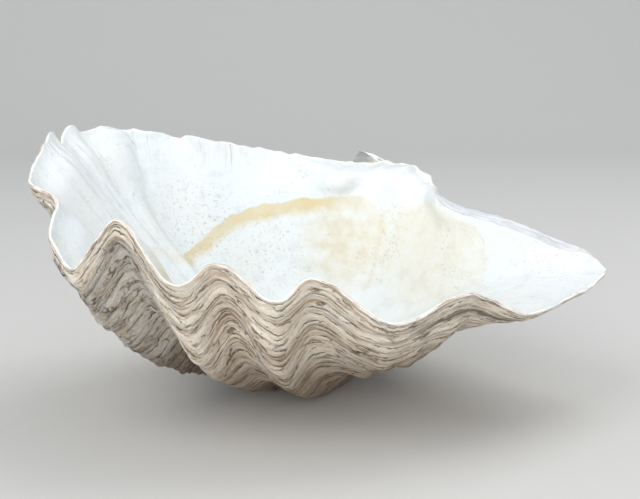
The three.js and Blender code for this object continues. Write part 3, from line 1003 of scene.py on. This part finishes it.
def outside_points(shares, form):
    """Points of the ledged outside, and the number of ledges from the edge at each of them."""
    turns, counts, heights = outside_rows()
    share, turn = np.meshgrid(shares, turns)
    count = np.broadcast_to(counts[:, None], share.shape)
    from_edge = smooth(0, RELIEF_START, count)
    to_beak = 1 - smooth(LEDGES - RELIEF_END, LEDGES, count)
    wobble = ripple(share, count, WOBBLE_WAVES)
    turn = turn + LEDGE_WOBBLE * wobble * smooth(0, WOBBLE_START, count) * to_beak
    whole = np.linalg.norm(OUTLINE, axis=1).max() * MM
    strength = uneven(LEDGE_STRENGTH, ripple(share, count, LEDGE_WAVES))
    crusted = 1 + CRUST_LEDGES * stretch(share, CRUST) * smooth(*CRUST_START, count)
    fine = heights[:, None] * strength * crusted * form.ledge_height / whole
    stop_strength = uneven(STOP_STRENGTH, ripple(share, count, STOP_WAVES))
    stops = stop_height(turn) * stop_strength * form.stop_height / whole
    rough = 1 - HINGE_CALM * stretch(share, CALM)
    points = outside_at(share, turn, (fine + stops) * from_edge * to_beak * rough)
    chips = chip_height(share, form) * (1 - from_edge)
    return points + growing_way(share) * chips[..., None], count


def cap_points(ring):
    """Rows that close the last ring of the outside over the beak's tip."""
    tip = grow(np.array([*CAVITY_CENTRE, 0.0]), BEAK_TURN, stage_size(BEAK_LAST_TURN))
    parts = np.arange(1, CAP_ROWS + 1) / CAP_ROWS
    return ring + (tip - ring) * parts[:, None, None]


def upright(points):
    """Tilts the opening and turns millimetres into metres."""
    right = unit(np.array([1, 0, -RISE_TO_LEFT]))
    up = unit(np.array([RISE_TO_LEFT, -RISE_TO_BACK, 1]))
    forward = np.cross(right, up)
    return (points @ np.stack([right, forward, up])) * MM


def box_shift(points):
    """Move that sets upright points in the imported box: centred in it, with the same top."""
    low, high = np.array(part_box("valve"))
    flat = points.reshape(-1, 3)
    shift = (low + high) / 2 - (flat.min(0) + flat.max(0)) / 2
    shift[2] = high[2] - flat[:, 2].max()
    return shift


def deselect_all():
    bpy.ops.object.select_all(action="DESELECT")


def displace(valve, name, texture_size, strength, group):
    texture = bpy.data.textures.new(name, "CLOUDS")
    texture.noise_scale = texture_size
    texture.noise_depth = 4
    modifier = valve.modifiers.new(name, "DISPLACE")
    modifier.texture = texture
    modifier.texture_coords = "LOCAL"
    modifier.strength = strength
    modifier.mid_level = 0.5
    modifier.vertex_group = group
    bpy.ops.object.modifier_apply(modifier=name)


def distance_to_line(points, line):
    """Distance of points from a polyline, signed by whether they lie above the nearest place on it."""
    best = np.full(points.shape[:-1], np.inf)
    rise = np.zeros(points.shape[:-1])
    for start, end in zip(line[:-1], line[1:]):
        way = end - start
        part = np.clip(((points - start) @ way) / (way @ way), 0, 1)
        gap = points - (start + part[..., None] * way)
        length = np.linalg.norm(gap, axis=-1)
        rise = np.where(length < best, gap[..., 2], rise)
        best = np.minimum(best, length)
    return np.where(rise < 0, -best, best)


def line_on_hollow(marks, shift):
    share, reach = np.array(marks).T
    return upright(inside_at(np.mod(share, 1), reach)) + shift


def valve_rows(form):
    """Points of every row of the valve, row by row from the middle of the hollow to the beak,
    with the values that the finish needs at each of them."""
    shares = column_shares()
    reaches = inside_rows()
    inside = inside_points(shares, reaches, form)
    rim = rim_points(shares, form)
    outside, counts = outside_points(shares, form)
    cap = cap_points(outside[-1])
    points = upright(np.concatenate([inside, rim, outside, cap]))
    shift = box_shift(points)
    points = points + shift

    bowl = len(inside)
    edge = bowl + len(rim)
    size = points.shape[:2]
    empty = ("ledge", "crust", "band_strength", "furrow", "outside", "across", "scarred")
    fields = {name: np.zeros(size) for name in empty}
    fields["ledge"][edge:] = np.concatenate([counts, np.repeat(counts[-1:], CAP_ROWS, axis=0)])
    fields["reach"] = np.ones(size)
    fields["reach"][:bowl] = reaches[:, None]
    fields["across"][:bowl] = 1
    fields["across"][bowl:edge] = np.linspace(1, 0, RIM_ROWS + 1)[:-1, None]
    fields["around"] = np.broadcast_to(shares, size)
    for name, zone in (("right_edge", RIGHT_EDGE), ("front", FRONT), ("gap", GAP), ("rubbed", RUBBED)):
        fields[name] = np.broadcast_to(stretch(shares, zone), size)
    fields["crest"] = np.broadcast_to(smooth(*CREST_SWING, fold_at(shares)[1]), size)
    fields["crust"][edge:] = stretch(shares, CRUST) * smooth(*CRUST_START, fields["ledge"][edge:])
    rough = 1 - HINGE_CALM * stretch(shares, CALM)
    fields["outside"][edge:] = smooth(0, WEAR_START, fields["ledge"][edge:]) * rough
    fields["pallial"] = distance_to_line(points, line_on_hollow(PALLIAL_LINE, shift)) / MM
    fields["scar"] = distance_to_line(points, line_on_hollow(SCAR_LINE, shift)) / MM
    scar_shares, scar_reaches = np.array(SCAR_LINE[SCAR_TURN_BACK:]).T
    scar_reach = np.interp(np.mod(shares - 0.5, 1) + 0.5, scar_shares, scar_reaches)
    scarred = smooth(0, SCAR_EDGE, scar_reach - reaches[:, None])
    fields["scarred"][:bowl] = scarred * stretch(shares, SCARRED)
    seen = BAND_FAINT + (1 - BAND_FAINT) * stretch(shares, BAND_SEEN)
    fields["band_strength"][:bowl] = seen
    long_furrows = stretch(shares, FURROWS) * smooth(*FURROW_REACH, reaches)[:, None]
    short_furrows = stretch(shares, BACK_FURROWS) * smooth(*BACK_FURROW_REACH, reaches)[:, None]
    fields["furrow"][:bowl] = np.maximum(long_furrows, short_furrows)
    return points, fields, bowl, edge


def grid_of(points, name):
    """A grid primitive whose points are set to the rows given, with each point's row and column."""
    rows, columns = points.shape[:2]
    deselect_all()
    bpy.ops.mesh.primitive_grid_add(x_subdivisions=columns - 1, y_subdivisions=rows - 1, size=1)
    made = bpy.context.active_object
    made.name = name
    made.data.name = name
    flat = np.empty(len(made.data.vertices) * 3)
    made.data.vertices.foreach_get("co", flat)
    flat = flat.reshape(-1, 3)
    if len(flat) != rows * columns:
        raise RuntimeError("the grid has another number of points than the rows and columns given")
    column = np.rint((flat[:, 0] + 0.5) * (columns - 1)).astype(int)
    row = np.rint((flat[:, 1] + 0.5) * (rows - 1)).astype(int)
    made.data.vertices.foreach_set("co", points[row, column].ravel())
    return made, row, column


def weight_group(piece, name, weights):
    group = piece.vertex_groups.new(name=name)
    for index in np.flatnonzero(weights > 0.001):
        group.add([int(index)], float(weights[index]), "REPLACE")


def close_mesh():
    """Closes the seam and the poles of the active piece and turns its faces outward."""
    bpy.ops.object.mode_set(mode="EDIT")
    bpy.ops.mesh.select_all(action="SELECT")
    bpy.ops.mesh.remove_doubles(threshold=MERGE_DISTANCE)
    bpy.ops.mesh.normals_make_consistent(inside=False)
    bpy.ops.object.mode_set(mode="OBJECT")


def wear_flat(mesh):
    """Lays the worn patches of the belly on the ground."""
    places = np.empty(len(mesh.vertices) * 3)
    mesh.vertices.foreach_get("co", places)
    places = places.reshape(-1, 3)
    places[:, 2] = np.maximum(places[:, 2], 0)
    mesh.vertices.foreach_set("co", places.ravel())


class CLAM_OT_valve(bpy.types.Operator):
    """Grow the valve: hollow, lip, ledged outside and its finish"""

    bl_idname = "clam.valve"
    bl_label = "Valve"

    def execute(self, context):
        form = context.scene.clam_form
        colours = context.scene.clam_colours
        points, fields, bowl, edge = valve_rows(form)
        valve, row, column = grid_of(points, "clam_valve")
        mesh = valve.data
        for name, values in fields.items():
            mesh.attributes.new(name, "FLOAT", "POINT").data.foreach_set("value", values[row, column])
        weight_group(valve, "outside", fields["outside"][row, column])
        weight_group(valve, "crust", fields["crust"][row, column])

        grain = grain_group()
        streaks = streak_group()
        mesh.materials.append(outside_material(colours, grain, streaks))
        mesh.materials.append(rim_material(colours, grain, streaks))
        mesh.materials.append(lining_material(colours, grain))
        first_row = np.array([row[list(face.vertices)].min() for face in mesh.polygons])
        mesh.polygons.foreach_set("material_index", (first_row < bowl).astype(int) + (first_row < edge))

        close_mesh()
        displace(valve, "wear", form.wear_size, form.wear_depth, "outside")
        displace(valve, "crust", form.crust_size, form.crust_depth, "crust")
        valve.vertex_groups.clear()
        wear_flat(mesh)
        bpy.ops.object.shade_smooth()
        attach(valve, "root")
        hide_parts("valve")
        return {"FINISHED"}


def sweep_points():
    """Rows of a floor that is flat at the front and curves up into a wall at the back."""
    turn = np.linspace(0, math.pi / 2, SWEEP_ROWS)
    depth = SWEEP_START + SWEEP_ROUND * np.sin(turn)
    height = SWEEP_ROUND * (1 - np.cos(turn))
    depth = np.concatenate([[-FLOOR_REACH], depth, depth[-1:]])
    height = np.concatenate([[0], height, [FLOOR_REACH]])
    sides = np.array([-FLOOR_REACH, FLOOR_REACH])
    side, depths = np.meshgrid(sides, depth)
    return np.stack([side, depths, np.broadcast_to(height[:, None], side.shape)], axis=-1)


class CLAM_OT_stage(bpy.types.Operator):
    """Lay the floor, hang the lights and set the camera"""

    bl_idname = "clam.stage"
    bl_label = "Stage"

    def execute(self, context):
        scene = context.scene
        settings = scene.clam_stage
        floor, _, _ = grid_of(sweep_points(), "floor")
        bpy.ops.object.shade_smooth()
        material, _, shader = new_material("pale_floor")
        shader.inputs["Base Color"].default_value = settings.floor
        shader.inputs["Roughness"].default_value = 0.85
        shader.inputs["Specular IOR Level"].default_value = 0.2
        floor.data.materials.append(material)

        world = bpy.data.worlds.new("soft_studio")
        world.use_nodes = True
        background = world.node_tree.nodes["Background"]
        background.inputs["Color"].default_value = settings.sky
        background.inputs["Strength"].default_value = settings.ambient
        scene.world = world
        scene.view_settings.view_transform = "Standard"

        for name, place, size, power in LIGHTS:
            bpy.ops.object.light_add(type="AREA", location=place)
            light = context.active_object
            light.name = name
            light.data.energy = power
            light.data.size = size
            aim = Vector(LIGHT_TARGET) - Vector(place)
            light.rotation_euler = aim.to_track_quat("-Z", "Y").to_euler()

        bpy.ops.object.camera_add(location=CAMERA_PLACE)
        camera = context.active_object
        camera.data.lens = settings.lens
        aim = Vector(CAMERA_TARGET) - Vector(CAMERA_PLACE)
        camera.rotation_euler = aim.to_track_quat("-Z", "Y").to_euler()
        scene.camera = camera
        return {"FINISHED"}


class CLAM_PT_panel(bpy.types.Panel):
    """Lists the pieces and their settings"""

    bl_idname = "CLAM_PT_panel"
    bl_label = "Giant Clam Valve"
    bl_space_type = "VIEW_3D"
    bl_region_type = "UI"
    bl_category = "Clam"

    def draw(self, context):
        for operator in OPERATORS:
            self.layout.operator(operator.bl_idname)
        for name in GROUPS:
            group = getattr(context.scene, name)
            for field in group.bl_rna.properties.keys():
                if field not in ("rna_type", "name"):
                    self.layout.prop(group, field)


GROUPS = {"clam_form": ClamForm, "clam_colours": ClamColours, "clam_stage": ClamStage}
OPERATORS = (CLAM_OT_valve, CLAM_OT_stage)


def register():
    for kind in (*GROUPS.values(), *OPERATORS, CLAM_PT_panel):
        bpy.utils.register_class(kind)
    for name, kind in GROUPS.items():
        setattr(bpy.types.Scene, name, PointerProperty(type=kind))


def unregister():
    for name in GROUPS:
        delattr(bpy.types.Scene, name)
    for kind in reversed((*GROUPS.values(), *OPERATORS, CLAM_PT_panel)):
        bpy.utils.unregister_class(kind)


def main():
    register()
    bpy.ops.clam.valve()
    bpy.ops.clam.stage()


if __name__ == "__main__":
    main()
